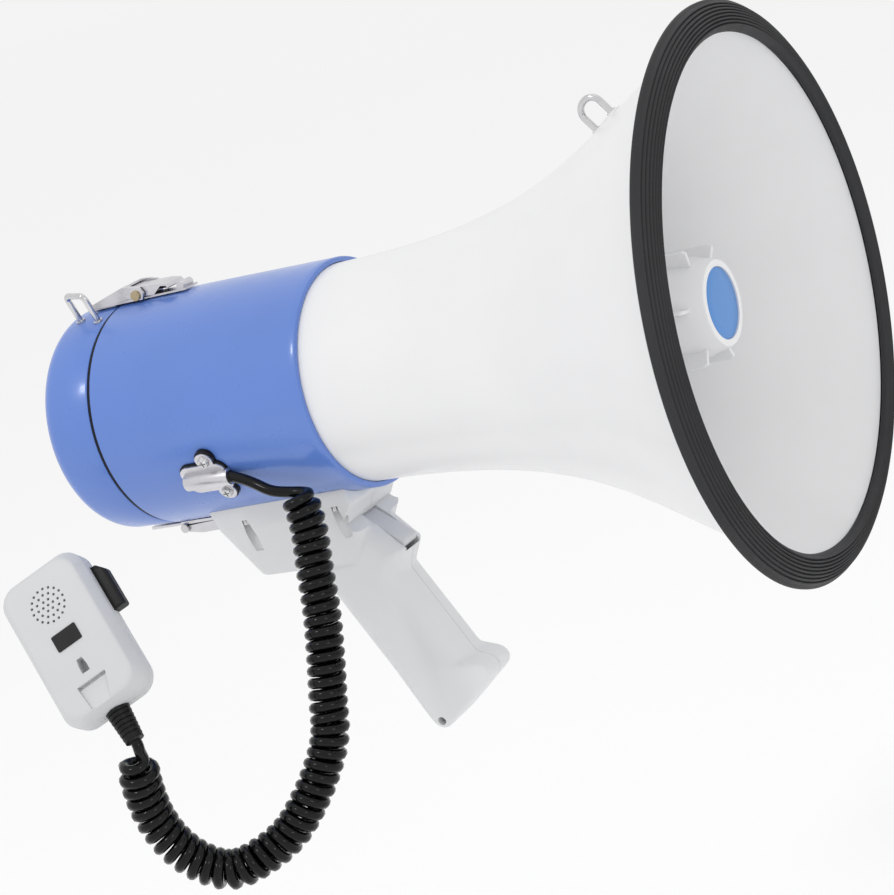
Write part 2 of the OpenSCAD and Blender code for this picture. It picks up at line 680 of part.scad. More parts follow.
module mic_back() color("gainsboro") difference() {
    mic_half(-1);
    mic_place() for (p = mic_screw_spots) translate([p[0], p[1], -20]) cylinder(r = 1.2, h = 20,
        $fn = 32);
}

mic_screw_spots = [[-13, 25], [13, -25], [-13, -25]];
module mic_screws() color("silver") mic_place() for (p = mic_screw_spots) translate([p[0], p[1],
    -mic_t / 2 - 0.9]) {
    cylinder(r = 2.2, h = 0.9, $fn = 32);
    translate([0, 0, 0.9]) cylinder(r = 1.15, h = 8, $fn = 32);
}

module mic_button() color("dimgray") mic_place() difference() {
    translate([0, 23.6, 0]) rotate([90, 0, 0]) linear_extrude(21.6)
        polygon([[17.8, -6.6], [25, -6.6], [26, -5.4], [26, -1.2], [25, 0], [17.8, 0]]);
    translate([22.6, 23.8, -10]) rotate(-50) cube([10, 10, 20]);
    translate([22.6, 1.8, -10]) rotate(-20) translate([0, -10, 0]) cube([10, 10, 20]);
}

module mic_plate() color("black") mic_place() translate([0, 0, mic_t / 2]) slab([12, 7.6, 0.4], 0.6);

module mic_capsule() color("silver") mic_place() translate([0, grille_y, 3.9]) cylinder(r = 7, h = 5,
    $fn = 48);

module mic_switch() color("dimgray") mic_place() translate([5, 7, -6]) cube([9.8, 11, 6]);

relief_len = 15;
module strain_relief() color("black") mic_place() translate([0, -mic_l / 2 - 0.05, 0]) rotate([90, 0,
    0]) {
    translate([0, 0, -4]) cylinder(r = 2.9, h = 4.1, $fn = 32);
    for (i = [0:6]) translate([0, 0, i * 2.1]) cylinder(r1 = 5.5 - i * 0.17, r2 = 5.2 - i * 0.17,
        h = 1.3, $fn = 32);
    cylinder(r1 = 4.4, r2 = 3.5, h = relief_len, $fn = 32);
    translate([0, 0, relief_len - 1.2]) cylinder(r = 4.2, h = 1.2, $fn = 32);
}

// ---- cord ----

lead_points = [[-38.2, -48.4, 81.4], [-30.7, -48.9, 78.6], [-24.9, -49.6, 75.8], [-20.1, -50, 73],
    [-15.3, -49.7, 71]];
curl_points = [[-5, -51, 70], [-4, -53, 55], [-4, -58, 38], [-4, -63, 20], [-5, -69, 2], [-7, -74, -15],
    [-8, -78, -27],
    [-11, -83, -37], [-18, -91, -50], [-28, -100, -62], [-40, -110, -68], [-51, -117, -69], [-61, -122,
        -62], [-68, -125.5, -51],
    [-72, -127, -38], [-72, -128, -25], [-70.5, -128.6, -16], [-69, -129, -10.5]];
tail_points = [[-67, -129.6, -8.9], [-65.2, -130.1, -6.6], [-64.8, -130, -4.2], [-65.9, -129.3, -2.3]];

module cord_lead() color("black") swept_tube(spline(lead_points, 2), cord_d, 8);
module cord_curl() color("black") swept_tube(spline(curl_points, 3), curl_d, 12);
module cord_tail() color("black") swept_tube(spline(tail_points, 2), cord_d, 8);

bell();
rim_guard();
reflector_cup();
hub_disc();
hub_screw();
throat_tube();
throat_plate();
driver_frame();
diaphragm();
voice_coil();
driver_plate();
magnet();
yoke();
driver_screws();
amp_board();
bulkhead();
battery_tray();
battery_cells();
contact_springs();
contact_strips();
barrel();
gasket();
rear_cap();
cap_hinge_leaf();
barrel_hinge_bracket();
hinge_pin();
latch_keeper();
latch_base();
latch_lever();
latch_claw();
latch_pivot();
latch_rivet();
strap_loop_front();
strap_loop_rear();
clamp_plate();
clamp_pad();
clamp_screws();
grip_right();
grip_left();
grip_screws();
saddle_screws();
trigger();
trigger_pin();
trigger_spring();
trigger_switch();
control_plate();
volume_knob();
mode_slider();
cord_lead();
cord_curl();
cord_tail();
strain_relief();
mic_front();
mic_back();
mic_button();
mic_plate();
mic_capsule();
mic_switch();
mic_screws();
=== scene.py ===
import json
import math

import bmesh
import bpy
from mathutils import Euler, Matrix, Vector


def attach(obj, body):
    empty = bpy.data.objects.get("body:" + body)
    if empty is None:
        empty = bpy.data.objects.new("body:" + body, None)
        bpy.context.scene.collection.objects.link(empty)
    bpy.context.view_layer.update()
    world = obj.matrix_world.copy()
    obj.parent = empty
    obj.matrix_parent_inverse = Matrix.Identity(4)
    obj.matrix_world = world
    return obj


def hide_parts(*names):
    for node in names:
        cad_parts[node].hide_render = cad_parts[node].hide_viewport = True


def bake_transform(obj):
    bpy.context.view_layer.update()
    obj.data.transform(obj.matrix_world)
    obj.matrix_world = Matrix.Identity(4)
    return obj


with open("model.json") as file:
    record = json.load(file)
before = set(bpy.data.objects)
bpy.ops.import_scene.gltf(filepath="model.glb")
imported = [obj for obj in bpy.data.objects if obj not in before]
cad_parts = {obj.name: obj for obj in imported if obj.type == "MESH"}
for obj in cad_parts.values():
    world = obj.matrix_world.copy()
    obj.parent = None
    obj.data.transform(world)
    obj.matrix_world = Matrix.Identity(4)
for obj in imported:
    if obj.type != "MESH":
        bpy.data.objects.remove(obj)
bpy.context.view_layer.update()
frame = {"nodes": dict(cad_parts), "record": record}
NODES = frame["nodes"]
ROOT = "megaphone"

MM = 0.001
MOUTH_X = 205.0
AXIS_Z = 105.0


# ---------------------------------------------------------------- camera

LENS = 91.87
CAMERA_PLACE = (0.5537, -0.8032, 0.2814)
CAMERA_TURN = (76.637, 16.941, 28.651)


def make_camera():
    data = bpy.data.cameras.new("camera")
    data.sensor_width = 36.0
    data.lens = LENS
    data.clip_end = 500.0
    cam = bpy.data.objects.new("camera", data)
    cam.location = CAMERA_PLACE
    cam.rotation_euler = [math.radians(a) for a in CAMERA_TURN]
    bpy.context.scene.collection.objects.link(cam)
    bpy.context.scene.camera = cam


make_camera()


# ---------------------------------------------------------------- routes

# how often the ends of the coil are rounded into the straight cord
JOIN_ROUNDS = 6


def spline(points, steps):
    """Catmull-Rom through the points, as the CAD route is drawn."""
    p = [Vector(q) for q in points]
    line = []
    for i in range(len(p) - 1):
        a, b, c, d = p[max(i - 1, 0)], p[i], p[i + 1], p[min(i + 2, len(p) - 1)]
        for k in range(steps):
            t = k / steps
            line.append(0.5 * (2 * b + (c - a) * t + (2 * a - 5 * b + 4 * c - d) * t * t
                               + (3 * b - a - 3 * c + d) * t ** 3))
    return line + [p[-1]]


def resample(line, count):
    """The same line with evenly spaced points."""
    run = [0.0]
    for a, b in zip(line, line[1:]):
        run.append(run[-1] + (b - a).length)
    out, j = [], 0
    for i in range(count):
        s = run[-1] * i / (count - 1)
        while j < len(run) - 2 and run[j + 1] < s:
            j += 1
        f = (s - run[j]) / max(run[j + 1] - run[j], 1e-9)
        out.append(line[j].lerp(line[j + 1], min(f, 1.0)))
    return out, run[-1]


def frames(line, start=Vector((0, 1, 0.2))):
    """A direction and a normal at each point, turned as little as possible along the line."""
    out, n = [], None
    for i in range(len(line)):
        d = (line[min(i + 1, len(line) - 1)] - line[max(i - 1, 0)]).normalized()
        n = start if n is None else n
        n = (n - d * d.dot(n)).normalized()
        out.append((d, n.copy()))
    return out


def smooth_line(line, *spans):
    """Rounds the line over the given spans of points."""
    for low, high in spans:
        for _ in range(JOIN_ROUNDS):
            fresh = list(line)
            for i in range(max(low, 1), min(high, len(line) - 1)):
                fresh[i] = (line[i - 1] + 2 * line[i] + line[i + 1]) / 4
            line = fresh
    return line


# ---------------------------------------------------------------- mesh helpers

def circle(r, sides):
    return [(r * math.cos(2 * math.pi * k / sides), r * math.sin(2 * math.pi * k / sides))
            for k in range(sides)]


def new_mesh(name, verts, faces, place=None):
    """A mesh from millimetre points, in the place's own frame."""
    place = place or Matrix.Identity(4)
    mesh = bpy.data.meshes.new(name)
    mesh.from_pydata([(place @ Vector(v)) * MM for v in verts], [], faces)
    return mesh


def face_out(mesh):
    bm = bmesh.new()
    bm.from_mesh(mesh)
    bmesh.ops.recalc_face_normals(bm, faces=bm.faces)
    bm.to_mesh(mesh)
    bm.free()


def add_object(name, mesh):
    obj = bpy.data.objects.new(name, mesh)
    bpy.context.scene.collection.objects.link(obj)
    return obj


def make_piece(name, verts, faces, material, body=ROOT, place=None, sharp=35):
    return add_piece(name, new_mesh(name, verts, faces, place), material, body, sharp)


def add_piece(name, mesh, material, body=ROOT, sharp=35):
    """Shows a mesh with one material, sharp above the given angle, riding on a body."""
    face_out(mesh)
    mesh.materials.clear()
    mesh.materials.append(material)
    mesh.shade_smooth()
    if sharp:
        mesh.set_sharp_from_angle(angle=math.radians(sharp))
    obj = add_object(name, mesh)
    if body:
        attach(obj, body)
    return obj


def soft_edges(obj, width, segments=2, angle=30):
    """Rounds an object's edges with a modifier."""
    weld = obj.modifiers.new("weld", "WELD")
    weld.merge_threshold = 0.00001
    bevel = obj.modifiers.new("edges", "BEVEL")
    bevel.width = width * MM
    bevel.segments = segments
    bevel.limit_method = "ANGLE"
    bevel.angle_limit = math.radians(angle)


def lathe(name, profile, material, body=ROOT, segments=192, place=None, sharp=35):
    """Turns a closed profile of (radius, height) points round +Z of the place.

    A point at radius 0 makes a pole.
    """
    verts, rings = [], []
    for r, h in profile:
        if r < 1e-6:
            rings.append([len(verts)])
            verts.append((0, 0, h))
        else:
            rings.append(list(range(len(verts), len(verts) + segments)))
            verts += [(x, y, h) for x, y in circle(r, segments)]
    faces = []
    for i in range(len(rings)):
        a, b = rings[i], rings[(i + 1) % len(rings)]
        if len(a) == 1 and len(b) == 1:
            continue
        for k in range(segments):
            j = (k + 1) % segments
            quad = [a[k % len(a)], b[k % len(b)], b[j % len(b)], a[j % len(a)]]
            faces.append(list(dict.fromkeys(quad)))
    return make_piece(name, verts, faces, material, body, place, sharp)


def tube(name, line, radius, sides, material, body=ROOT):
    """A round tube along a line of points, closed at both ends."""
    verts, faces = [], []
    n = len(line)
    for i, (d, u) in enumerate(frames(line)):
        v = d.cross(u)
        verts += [line[i] + radius * (x * u + y * v) for x, y in circle(1, sides)]
    for i in range(n - 1):
        for k in range(sides):
            j = (k + 1) % sides
            faces.append([i * sides + k, i * sides + j, (i + 1) * sides + j, (i + 1) * sides + k])
    faces += [list(range(sides))[::-1], list(range((n - 1) * sides, n * sides))]
    return make_piece(name, verts, faces, material, body, sharp=60)


def prism(name, outline, low, high, material, body=ROOT, place=None):
    """An outline in the place's XY plane, from height low to high."""
    n = len(outline)
    verts = [(x, y, low) for x, y in outline] + [(x, y, high) for x, y in outline]
    faces = [list(range(n))[::-1], list(range(n, 2 * n))]
    faces += [[k, (k + 1) % n, n + (k + 1) % n, n + k] for k in range(n)]
    return make_piece(name, verts, faces, material, body, place)


def loft(name, rings, material, body=ROOT, place=None, sharp=35):
    """A closed skin through rings that all have as many points."""
    n = len(rings[0])
    verts = [v for ring in rings for v in ring]
    faces = [list(range(n))[::-1], list(range((len(rings) - 1) * n, len(rings) * n))]
    for i in range(len(rings) - 1):
        faces += [[i * n + k, i * n + (k + 1) % n, (i + 1) * n + (k + 1) % n, (i + 1) * n + k]
                  for k in range(n)]
    return make_piece(name, verts, faces, material, body, place, sharp)


def rounded(w, l, r, z, steps=8):
    """A rounded rectangle ring at height z."""
    ring = []
    for cx, cy, start in ((1, 1, 0), (-1, 1, 90), (-1, -1, 180), (1, -1, 270)):
        for k in range(steps + 1):
            a = math.radians(start + 90 * k / steps)
            ring.append((cx * (w / 2 - r) + r * math.cos(a), cy * (l / 2 - r) + r * math.sin(a), z))
    return ring


def bezier(p, t):
    s = 1 - t
    return tuple(s ** 3 * a + 3 * s * s * t * b + 3 * s * t * t * c + t ** 3 * d
                 for a, b, c, d in zip(*p))


# turns +Z to point across the object
ACROSS = Matrix.Rotation(math.radians(90), 4, "X")
# +Z of this place runs along the horn to its mouth, from the middle of the mouth
HORN = Matrix.Translation((MOUTH_X, 0, AXIS_Z)) @ Matrix.Rotation(math.radians(90), 4, "Y")


def on_skin(h, angle, r):
    """+Z out of the barrel's skin, +X towards the mouth."""
    return (Matrix.Translation((MOUTH_X + h, 0, AXIS_Z)) @ Matrix.Rotation(math.radians(angle), 4, "X")
            @ Matrix.Translation((0, 0, r)))


MIC_TURN = Euler([math.radians(a) for a in (59, -19, 31)])
MIC = Matrix.Translation((-91.6, -114.1, 38.9)) @ MIC_TURN.to_matrix().to_4x4()


# ---------------------------------------------------------------- materials

def linear(r, g, b):
    """Linear colour from a screen colour of 0 to 255."""
    def one(c):
        c /= 255
        return c / 12.92 if c <= 0.04045 else ((c + 0.055) / 1.055) ** 2.4
    return one(r), one(g), one(b)


class Nodes:
    """A small builder for a material's node tree."""

    def __init__(self, name):
        self.mat = bpy.data.materials.new(name)
        self.mat.use_nodes = True
        self.tree = self.mat.node_tree
        self.shader = self.tree.nodes["Principled BSDF"]
        coords = self.tree.nodes.new("ShaderNodeTexCoord")
        self.coords = coords.outputs["Object"]

    def link(self, a, b):
        self.tree.links.new(a, b)

    def stretch(self, scale):
        node = self.tree.nodes.new("ShaderNodeMapping")
        node.inputs["Scale"].default_value = scale
        self.link(self.coords, node.inputs["Vector"])
        return node.outputs["Vector"]

    def noise(self, scale, detail=4.0, rough=0.55, vector=None):
        node = self.tree.nodes.new("ShaderNodeTexNoise")
        node.inputs["Scale"].default_value = scale
        node.inputs["Detail"].default_value = detail
        node.inputs["Roughness"].default_value = rough
        self.link(vector or self.coords, node.inputs["Vector"])
        return node.outputs["Fac"]

    def remap(self, value, low, high, start=0.3, end=0.7):
        node = self.tree.nodes.new("ShaderNodeMapRange")
        for key, v in (("From Min", start), ("From Max", end), ("To Min", low), ("To Max", high)):
            node.inputs[key].default_value = v
        self.link(value, node.inputs["Value"])
        return node.outputs["Result"]

    def mix(self, factor, a, b):
        node = self.tree.nodes.new("ShaderNodeMix")
        node.data_type = "RGBA"
        self.link(factor, node.inputs["Factor"])
        for socket, value in ((node.inputs[6], a), (node.inputs[7], b)):
            if isinstance(value, tuple):
                socket.default_value = (*value, 1)
            else:
                self.link(value, socket)
        return node.outputs[2]

    def bump(self, height, strength, distance):
        node = self.tree.nodes.new("ShaderNodeBump")
        node.inputs["Strength"].default_value = strength
        node.inputs["Distance"].default_value = distance
        self.link(height, node.inputs["Height"])
        return node.outputs["Normal"]


def shade(colour, share):
    return tuple(min(c * share, 1.0) for c in colour)


def moulded(name, colour, rough=0.4, vary=0.05, grain=0.1, grain_scale=1500.0, coat=0.0, dust=0.0,
            gloss=0.5):
    """Moulded plastic or rubber: slight mottling, a fine moulded grain and uneven gloss."""
    n = Nodes(name)
    tone = n.remap(n.noise(18, 3), 0, 1)
    base = n.mix(tone, shade(colour, 1 - vary), shade(colour, 1 + vary))
    if dust:
        base = n.mix(n.remap(n.noise(260, 6, 0.7), 0, dust, 0.55, 0.75), base, shade(colour, 1.8))
    n.link(base, n.shader.inputs["Base Color"])
    n.link(n.remap(n.noise(60, 5), rough - 0.05, rough + 0.06), n.shader.inputs["Roughness"])
    n.link(n.bump(n.noise(grain_scale, 2), grain, 0.0001), n.shader.inputs["Normal"])
    n.shader.inputs["Coat Weight"].default_value = coat
    n.shader.inputs["Specular IOR Level"].default_value = gloss
    n.shader.inputs["Coat Roughness"].default_value = 0.12
    return n.mat


def metal(name, colour, rough=0.3, brushed=(1, 1, 1), grain=0.15, tarnish=0.12):
    """Bare metal with rubbing marks along one direction and faint dull patches."""
    n = Nodes(name)
    fine = n.noise(700, 4, 0.6, n.stretch(brushed))
    patch = n.noise(90, 5, 0.6)
    base = n.mix(n.remap(patch, 0, 1, 0.35, 0.7), colour, shade(colour, 1 - tarnish))
    n.link(base, n.shader.inputs["Base Color"])
    n.link(n.remap(fine, rough - 0.06, rough + 0.1), n.shader.inputs["Roughness"])
    n.link(n.bump(fine, grain, 0.00005), n.shader.inputs["Normal"])
    n.shader.inputs["Metallic"].default_value = 1.0
    return n.mat


HORN_WHITE = moulded("horn_white", linear(233, 233, 234), 0.36, 0.015, 0.06, 1300, coat=0.15)
BARREL_BLUE = moulded("barrel_blue", linear(92, 128, 205), 0.30, 0.03, 0.05, 1100, coat=0.4)
RIM_RUBBER = moulded("rim_rubber", linear(44, 44, 46), 0.55, 0.15, 0.3, 2200, dust=0.25, gloss=0.3)
DISC_BLUE = moulded("disc_blue", linear(70, 134, 204), 0.35, 0.03, 0.05, 1400, coat=0.2)
GRIP_GREY = moulded("grip_grey", linear(220, 221, 222), 0.5, 0.02, 0.22, 1700)
TRIGGER_GREY = moulded("trigger_grey", linear(206, 207, 210), 0.46, 0.02, 0.15, 1700)
MIC_GREY = moulded("mic_grey", linear(205, 206, 208), 0.48, 0.02, 0.2, 1600)
CORD_BLACK = moulded("cord_black", linear(8, 8, 9), 0.15, 0.1, 0.03, 1500, gloss=0.24)
GLAND_BLACK = moulded("gland_black", linear(14, 14, 15), 0.4, 0.1, 0.12, 1800, gloss=0.25)
KNOB_BLACK = moulded("knob_black", linear(18, 18, 19), 0.45, 0.08, 0.2, 1900, gloss=0.3)
INNER_GREY = moulded("inner_grey", linear(190, 192, 196), 0.55, 0.04, 0.2, 1500)
BOARD_GREEN = moulded("board_green", linear(30, 110, 60), 0.4, 0.1, 0.2, 900)
CELL_GOLD = moulded("cell_jacket", linear(206, 170, 70), 0.3, 0.05, 0.05, 900, coat=0.5)
CONE_BROWN = moulded("cone_brown", linear(140, 96, 56), 0.5, 0.1, 0.2, 1200)
PLATE_STEEL = metal("plate_steel", (0.7, 0.69, 0.72), 0.3, (1, 8, 8))
WIRE_CHROME = metal("wire_chrome", (0.7, 0.7, 0.71), 0.16, (6, 1, 1), 0.08, 0.2)
SCREW_STEEL = metal("screw_steel", (0.66, 0.66, 0.67), 0.25, (1, 1, 1), 0.1)
RIVET_BRASS = metal("rivet_brass", (0.52, 0.42, 0.27), 0.35)
DRIVER_BLACK = moulded("driver_black", linear(40, 40, 42), 0.5, 0.1, 0.3, 700)
COIL_COPPER = metal("coil_copper", (0.72, 0.4, 0.2), 0.3, (1, 30, 30))

# the material of each slot of the CAD record
PAINT = {
    "plate_steel": PLATE_STEEL, "wire_chrome": WIRE_CHROME, "rivet_brass": RIVET_BRASS,
    "screw_steel": SCREW_STEEL, "horn_white": HORN_WHITE, "barrel_blue": BARREL_BLUE,
    "rim_rubber": RIM_RUBBER, "disc_blue": DISC_BLUE, "grip_grey": GRIP_GREY,
    "trigger_grey": TRIGGER_GREY, "mic_grey": MIC_GREY, "black_rubber": GLAND_BLACK,
    "black_plastic": KNOB_BLACK, "inner_plastic": INNER_GREY, "driver_metal": DRIVER_BLACK,
    "ferrite": DRIVER_BLACK, "driver_steel": SCREW_STEEL, "phenolic": CONE_BROWN,
    "coil_copper": COIL_COPPER, "board_green": BOARD_GREEN, "cell_jacket": CELL_GOLD,
}
for part in frame["record"]["subparts"]:
    mesh = NODES[part["node"]].data
    mesh.materials.clear()
    mesh.materials.append(PAINT[part["material_slot"]])

# ---------------------------------------------------------------- the cord

CORD_D = 5.0
COIL_R = (5.7, 6.6)
CURL_PITCH = 5.08
TURN_STEPS = 14
CLAMP_EXIT = (-38.2, -48.4, 81.4)
LEAD = [CLAMP_EXIT, (-30.7, -48.9, 78.6), (-24.9, -49.6, 75.8), (-20.1, -50, 73), (-15.3, -49.7, 71)]
CURL = [(-5, -51, 70), (-4, -53, 55), (-4, -58, 38), (-4, -63, 20), (-5, -69, 2), (-7, -74, -15),
        (-8, -78, -27), (-11, -83, -37), (-18, -91, -50), (-28, -100, -62), (-40, -110, -68),
        (-51, -117, -69), (-61, -122, -62), (-68, -125.5, -51), (-72, -127, -38), (-72, -128, -25),
        (-70.5, -128.6, -16), (-69, -129, -10.5)]
TAIL = [(-67, -129.6, -8.9), (-65.2, -130.1, -6.6), (-64.8, -130, -4.2), (-65.9, -129.3, -2.3)]


def curly_cord():
    route = spline(CURL, 24)
    _, length = resample(route, 2)
    turns = round(length / CURL_PITCH)
    count = turns * TURN_STEPS + 1
    axis, _ = resample(route, count)
    helix = []
    first = Vector((-0.8, 0.6, 0))
    for i, (p, (d, u)) in enumerate(zip(axis, frames(axis, first))):
        angle = 2 * math.pi * i / TURN_STEPS
        grow = min(1.0, (i + 12) / 14, (count - i + 3) / 12)
        reach = COIL_R[0] + (COIL_R[1] - COIL_R[0]) * i / count
        helix.append(p + reach * grow * (math.cos(angle) * u + math.sin(angle) * d.cross(u)))
    lead = spline(LEAD, 4)
    tail = spline(TAIL, 4)
    join = len(lead) + len(helix)
    line = smooth_line(lead + helix[1:-2] + tail[3:],
                       (len(lead) - 6, len(lead) + 8), (join - 12, join + 4))
    obj = tube("curly_cord", line, CORD_D / 2 - 0.05, 10, CORD_BLACK, None)
    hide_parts("cord_lead", "cord_curl", "cord_tail")
    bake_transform(obj)


curly_cord()


# ---------------------------------------------------------------- horn

BELL_WALL = 2.5
BELL_STEPS = 60
BELL_CURVE = ((47.8, -194), (47.8, -80), (75.5, -63), (105, -1))


def bell():
    outer = [bezier(BELL_CURVE, i / BELL_STEPS) for i in range(BELL_STEPS + 1)]
    inner = []
    for i in range(BELL_STEPS, -1, -1):
        t = i / BELL_STEPS
        a, b = bezier(BELL_CURVE, max(t - 0.01, 0)), bezier(BELL_CURVE, min(t + 0.01, 1))
        d = Vector((b[0] - a[0], b[1] - a[1])).normalized()
        r, h = bezier(BELL_CURVE, t)
        inner.append((r - BELL_WALL * d.y, h + BELL_WALL * d.x))
    profile = [(47.8, -211)] + outer + inner + [(45.3, -211)]
    obj = lathe("bell_shell", profile, HORN_WHITE, segments=256, place=HORN)
    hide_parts("bell")
    # the boss under the front strap loop
    boss_place = (on_skin(-48, 0, 0) @ Matrix.Rotation(math.radians(-34), 4, "Y")
                  @ Matrix.Translation((42.7, 0, 65.2)))
    rings = [rounded(18, 9, 4, 0), rounded(18, 9, 4, 1.2), rounded(17.4, 8.4, 3.8, 1.9),
             rounded(16.4, 7.4, 3.4, 2.2)]
    boss = loft("bell_boss", rings, HORN_WHITE, place=boss_place)


bell()


RIB_COUNT = 8
RIB_STEPS = 6


def rim_guard():
    ribs = []
    for i in range(RIB_COUNT):
        for k in range(RIB_STEPS):
            f = (i + k / RIB_STEPS) / RIB_COUNT
            r = 103 * (1 - f) + 113.8 * f
            h = 4 * (1 - f) + 1.2 * math.sin(math.pi * f) + math.sin(math.pi * k / RIB_STEPS)
            ribs.append((r, h))
    profile = [(101.6, 1.4), (101.8, 2.8), (102.3, 3.6)] + ribs + [
        (113.8, 0.1), (114.6, -0.3), (115, -0.9), (114.9, -1.7), (113.5, -2.6), (109, -4.1), (105, -5.6),
        (103.7, -5.7), (104.4, -3.4), (105.1, -0.9), (103.6, 0.0)]
    obj = lathe("rim_ring", profile, RIM_RUBBER, segments=256, place=HORN, sharp=50)
    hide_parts("rim_guard")


rim_guard()


# the faces of a box given as its bottom ring and then its top ring
BOX_FACES = [[0, 3, 2, 1], [4, 5, 6, 7], [0, 1, 5, 4], [1, 2, 6, 5], [2, 3, 7, 6], [3, 0, 4, 7]]


def cutter(name, verts, faces=BOX_FACES, place=None):
    """A solid that carve() takes away."""
    mesh = new_mesh(name, verts, faces, place)
    face_out(mesh)
    return add_object(name, mesh)


def drum(r0, r1, low, high, place=None, sides=64):
    """A round cutter along +Z of the place."""
    verts = [(x, y, h) for r, h in ((r0, low), (r1, high)) for x, y in circle(r, sides)]
    faces = [list(range(sides))[::-1], list(range(sides, 2 * sides))]
    faces += [[k, (k + 1) % sides, sides + (k + 1) % sides, sides + k] for k in range(sides)]
    return cutter("drum", verts, faces, place)


def carve(obj, cutters=()):
    """Returns the object's final mesh, cut by the cutters, and removes them all."""
    for c in cutters:
        mod = obj.modifiers.new("cut", "BOOLEAN")
        mod.operation = "DIFFERENCE"
        mod.solver = "EXACT"
        mod.object = c
    bpy.context.view_layer.update()
    result = obj.evaluated_get(bpy.context.evaluated_depsgraph_get())
    mesh = bpy.data.meshes.new_from_object(result)
    for o in (obj, *cutters):
        bpy.data.objects.remove(o)
    return mesh


CUP_FINS = 6
FIN_HALF = 0.8


def reflector_cup():
    front, back = -22.6, -92.0
    profile = [(0, front - 0.9), (14.6, front - 0.9), (14.6, front), (17.2, front), (17.7, front - 0.7),
               (18.9, front - 6), (20, front - 9), (21.4, back + 0.4), (21.1, back), (20, back),
               (19.8, back + 0.4), (18.4, front - 10), (16.4, front - 5), (0, front - 4.2)]
    cup = lathe("cup_shell", profile, HORN_WHITE, segments=128, place=HORN)
    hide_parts("reflector_cup")
    outline = [(19, front - 6), (25.6, front - 5.4), (26.6, front - 7), (27, back + 7), (25, back + 6),
               (20, back + 6)]
    for i in range(CUP_FINS):
        turn = HORN @ Matrix.Rotation(math.radians(i * 60 + 20), 4, "Z") @ ACROSS
        fin = prism("cup_fin_%d" % i, outline, -FIN_HALF, FIN_HALF, HORN_WHITE, place=turn)
        soft_edges(fin, 0.4)
    face = [(0, front - 0.25), (9, front - 0.3), (13.9, front - 0.42), (14.45, front - 0.7),
            (14.5, front - 0.9), (0, front - 0.9)]
    disc = lathe("hub_face", face, DISC_BLUE, segments=96, place=HORN)
    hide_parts("hub_disc")


reflector_cup()

SEAM_H = -304.5
LIP_H = -194.0
CAP_FRONT = -306.2
CAP_REAR = CAP_FRONT - 29
# how far from the horn's axis the barrel's openings are cut
CUT_LOW, CUT_HIGH = 35, 62
# where the openings are: along the horn from its mouth, and in degrees round it
PANEL_ANGLE = -90
KNOB_H, SLIDER_H = -225, -253
CLAMP_H, CLAMP_ANGLE = -255.5, 116


def barrel():
    profile = [(48.1, SEAM_H + 0.2), (51.6, SEAM_H), (52, SEAM_H + 0.5), (51.9, SEAM_H + 8), (50.4, LIP_H - 4),
               (50.4, LIP_H - 0.9), (50.1, LIP_H - 0.25), (49.5, LIP_H), (48.1, LIP_H)]
    blank = lathe("blank", profile, BARREL_BLUE, None, segments=256, place=HORN)
    key_way = [(x, y, z) for z in (CUT_LOW, CUT_HIGH)
               for x, y in ((-8, -2.6), (8, -2.6), (8, 2.6), (-8, 2.6))]
    cuts = [drum(4.2, 4.2, CUT_LOW, CUT_HIGH, on_skin(KNOB_H, PANEL_ANGLE, 0)),
            cutter("key_way", key_way, place=on_skin(SLIDER_H, PANEL_ANGLE, 0)),
            drum(3, 3, CUT_LOW, CUT_HIGH, on_skin(CLAMP_H, CLAMP_ANGLE, 0), 48)]
    skin = add_piece("barrel_skin", carve(blank, cuts), BARREL_BLUE, ROOT, 30)
    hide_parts("barrel")


def rear_cap():
    edge = []
    for i in range(13):
        a = math.radians(90 * i / 12)
        edge.append((43 + 8.6 * math.sin(a), CAP_REAR + 8.6 * (1 - math.cos(a))))
    rear = [(0, 1.6), (29.6, 1.6), (30.4, 1.2), (31.6, 0.1), (32, 0)]
    lip = [(51.9, -0.6), (51.5, 0), (47.6, 0), (47.6, 4.6), (47.2, 5), (45.9, 5), (45.6, 4.6)]
    inside = [(45.6, 7), (44, 5), (42, 4.5), (34, 4.5)]
    profile = ([(r, CAP_REAR + h) for r, h in rear] + edge + [(r, CAP_FRONT + h) for r, h in lip]
               + [(r, CAP_REAR + h) for r, h in inside] + [(34, -326.2), (0, -326.2)])
    skin = lathe("cap_skin", profile, BARREL_BLUE, "cap", segments=256, place=HORN)
    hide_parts("rear_cap")


barrel()
rear_cap()


# ---------------------------------------------------------------- grip

GRIP_W = 30.0
SADDLE_W = 52.0
GRIP_VOXEL = 0.9
GRIP_ROUNDS = 9
TRIGGER_W = 11.6
SLOT_W = 12.4


def span(x0, x1, z, w, r):
    """A level slice of the grip, as in the CAD, as two rings half a millimetre apart."""
    ring = rounded(x1 - x0, w, r, 0, 6)
    return [((x0 + x1) / 2 + x, y, z + lift) for lift in (0, 0.5) for x, y, _ in ring]


def roll(x, z, r, w):
    """A cylinder across the grip."""
    return [(x + a, y, z + b) for y in (-w / 2, w / 2) for a, b in circle(r, 24)]


